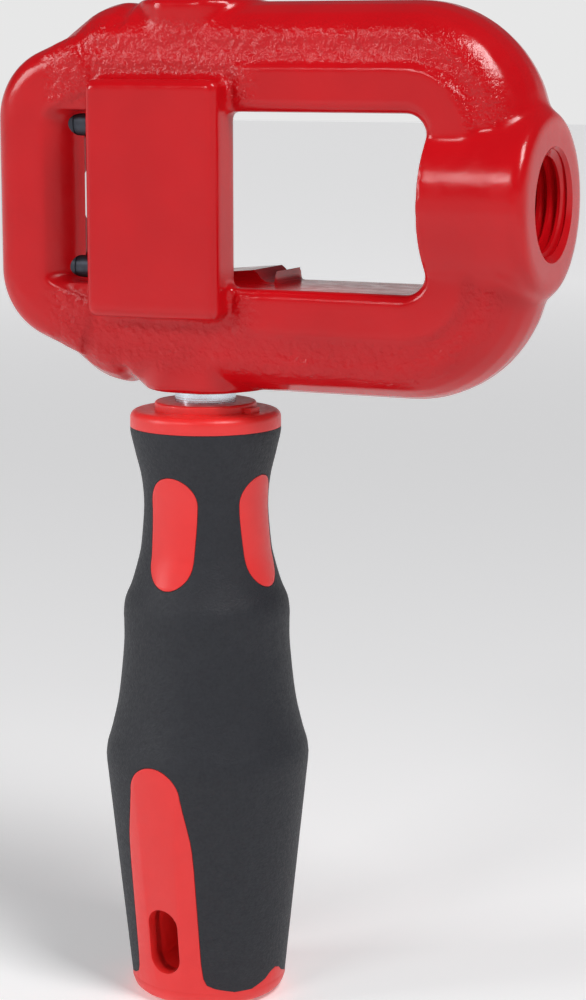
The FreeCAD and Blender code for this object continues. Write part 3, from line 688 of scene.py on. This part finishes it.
neck, neck_foot, waist = (0.01380, -0.0501), (0.01268, -0.0549), (0.01226, -0.0605)
waist_foot, flare, guard_root = (0.01282, -0.0678), (0.01340, -0.0710), (0.01480, -0.0759)
guard_shoulder = (0.01612, -0.0791)
guard, guard_foot, belly = (0.01650, -0.0818), (0.01646, -0.0840), (0.01656, -0.0889)
swell, ridge_root, ridge_shoulder = (0.01762, -0.0988), (0.01907, -0.1054), (0.01998, -0.1085)
ridge, ridge_foot = (0.02028, -0.1108), (0.02020, -0.1122)
collar_foot = (0.01465, -0.0465)
upper_stations = [collar_foot, neck, neck_foot, waist, waist_foot, flare, guard_root, guard_shoulder, guard]
lower_stations = [guard_foot, belly, swell, ridge_root, ridge_shoulder, ridge]
skin_shape = curve_through(upper_stations + lower_stations)[1:]
skin_shape += [ridge_foot, (0.01610, -0.1509)]
tail_shape = curve_through([(0.01550, -0.1572), (0.01440, -0.1591), (0.01050, tail_z)]) + [(0, tail_z)]
collar_round = 0.0014
collar_shape = [(0, collar_top)]
for index in range(7):
    turn = math.radians(15 * index)
    across = collar_radius - collar_round * (1 - math.sin(turn))
    collar_shape.append((across, collar_top - collar_round * (1 - math.cos(turn))))


def spun(name, outline, sides=144, hollow=False):
    """A solid of revolution about Z from (radius, z) pairs, its seam a little off the X axis. A hollow
    one has a closed outline that stays clear of the axis."""
    piece = draw_outline(name, [(radius, 0, z) for radius, z in outline], filled=hollow)
    if hollow:
        bpy.ops.mesh.delete(type="ONLY_FACE")
    bpy.ops.mesh.select_all(action="SELECT")
    bpy.ops.mesh.spin(steps=sides, angle=math.radians(360), center=(0, 0, 0), axis=(0, 0, 1))
    bpy.ops.mesh.select_all(action="SELECT")
    bpy.ops.mesh.remove_doubles(threshold=0.00001)
    bpy.ops.mesh.fill_holes(sides=0)
    close_up(piece)
    piece.rotation_euler = (0, 0, math.radians(0.9))
    bpy.ops.object.transform_apply(location=True, rotation=True, scale=True)
    return piece


reach = 0.03


def stadium(name, half_width, half_height, centre_z, taper=1.0):
    """A tall prism with round ends that runs through the grip along Y; its lower end may be narrower."""
    straight = half_height - half_width
    points = []
    for index in range(25):
        turn = math.radians(7.5 * index)
        upper_z = centre_z + straight + half_width * math.sin(turn)
        points.append((half_width * math.cos(turn), -reach, upper_z))
    for index in range(25):
        turn = math.radians(180 + 7.5 * index)
        low_width = half_width * taper
        lower_z = centre_z - straight + half_width * math.sin(turn)
        points.append((low_width * math.cos(turn), -reach, lower_z))
    piece = draw_outline(name, points)
    push((0, 2 * reach, 0))
    return close_up(piece)


def turned(piece, degrees):
    piece.rotation_euler = (0, 0, math.radians(degrees))
    deselect()
    piece.select_set(True)
    bpy.context.view_layer.objects.active = piece
    bpy.ops.object.transform_apply(location=True, rotation=True, scale=True)
    return piece


def windows(gap):
    """The shapes in which the core comes through the sleeve, each widened by a gap."""
    shapes = []
    for degrees in (0, 90):
        inset = stadium("inset", 0.0052 + gap, 0.01095 + gap, -0.0645, 0.93)
        shapes.append(turned(inset, degrees))
    head_radius = 0.0057 + gap
    head_z = -0.1154
    edge = [(0.0057, head_z), (0.0062, -0.1185), (0.0067, -0.1215), (0.0071, -0.1240), (0.0073, -0.1262)]
    edge += [(0.0074, -0.1300), (0.0074, -0.1500), (0.0076, -0.1532), (0.0081, -0.1546), (0.0094, -0.1554)]
    edge += [(0.0120, -0.1563)]
    edge = [(x + gap, z) for x, z in edge] + [(0.0128, -0.1620)]
    head = []
    for index in range(1, 24):
        turn = math.radians(7.5 * index)
        head.append((head_radius * math.cos(turn), head_z + head_radius * math.sin(turn)))
    tongue = list(reversed(edge)) + head + [(-x, z) for x, z in edge]
    strip = draw_outline("tongue", [(x, -reach, z) for x, z in tongue])
    push((0, 2 * reach, 0))
    shapes.append(close_up(strip))
    side_edge = [(0.0060, -0.1620), (0.0060, -0.1563), (0.0030, -0.1551), (0.0016, -0.1540)]
    side_edge = [(x + gap, z) for x, z in side_edge]
    notch = [(-x, z) for x, z in side_edge] + [(0, -0.1535 + gap)] + list(reversed(side_edge))
    side = draw_outline("notch", [(x, -reach, z) for x, z in notch])
    push((0, 2 * reach, 0))
    shapes.append(turned(close_up(side), 90))
    return shapes


def keep_inside(piece, limit):
    """Keeps what two solids share, and removes the second."""
    change = piece.modifiers.new("kept", "BOOLEAN")
    change.operation = "INTERSECT"
    change.solver = "EXACT"
    change.object = limit
    apply_all(piece)
    bpy.data.objects.remove(limit)
    return piece


def hang_slot():
    return stadium("hang_slot", 0.0034, 0.0068, -0.1461)


wall = 0.0022
embedded = 0.0015
top_of_sleeve = [(collar_radius, sleeve_high), (collar_radius, -0.0455), collar_foot]
sleeve_foot = (0.01553, sleeve_low)
hidden = [(radius - wall, z) for radius, z in [(collar_radius, sleeve_high)] + skin_shape + [sleeve_foot]]
bush_radius, bearing_radius = 0.00825, 0.0080
bush_end, bore_end = -0.0584, -0.0997
bore = [(0, bore_end), (bearing_radius, bore_end), (bearing_radius, bush_end), (bush_radius, bush_end)]
bore.append((bush_radius, collar_top))
core_shape = bore + collar_shape[1:] + [(collar_radius, sleeve_high)] + hidden + [sleeve_foot] + tail_shape
core = spun("grip_moulding", core_shape)
machine(core, block("tab_slot", (0, -0.0015, collar_top - 0.0010), (0.0116, 0.0015, collar_top + 0.002)))
machine(core, hang_slot())
proud_outer = top_of_sleeve + skin_shape + [sleeve_foot, (0.01548, sleeve_low - 0.0004)]
proud_inner = [(radius - wall - embedded, z) for radius, z in reversed(proud_outer)]
inserts = []
for window in windows(0.0):
    ring = spun("grip_inserts", proud_outer + proud_inner, hollow=True)
    inserts.append(keep_inside(ring, window))
tongues = inserts[2]
machine(tongues, hang_slot())
core = join([core] + inserts)
core = turned(core, grip_turn)
core.name = "red_grip_core"
core.data.materials.clear()
core.data.materials.append(red_plastic)
edge_round = core.modifiers.new("moulded_edges", "BEVEL")
edge_round.width = 0.00035
edge_round.segments = 2
edge_round.limit_method = "ANGLE"
edge_round.angle_limit = math.radians(50)
edge_round.use_clamp_overlap = True
apply_all(core)
bpy.ops.object.shade_smooth_by_angle(angle=math.radians(38))
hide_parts("grip_core")
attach(core, "grip")


# Grip sleeve: soft black rubber moulded round the core, waisted, with a guard and a ridge, open at
# the insets and the tongues. A fine parting line runs round every opening.
parting_line = 0.00012
under_collar = sleeve_high - 0.00008
inner_side = list(reversed(hidden))[:-1]
rubber = [(collar_radius, under_collar)] + top_of_sleeve[1:] + skin_shape + [sleeve_foot] + inner_side
sleeve = spun("grip_rubber", rubber + [(collar_radius - wall, under_collar)], hollow=True)
for window in windows(parting_line):
    machine(sleeve, window)
sleeve = turned(sleeve, grip_turn)
sleeve.name = "black_grip_sleeve"
sleeve.data.materials.clear()
sleeve.data.materials.append(black_grip)
bpy.ops.object.shade_smooth_by_angle(angle=math.radians(38))
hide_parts("grip_sleeve")
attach(sleeve, "grip")


# Flange bush: a red moulded ring that closes the top of the grip, with a key tab on one side.
dress("flange_bush", red_plastic)
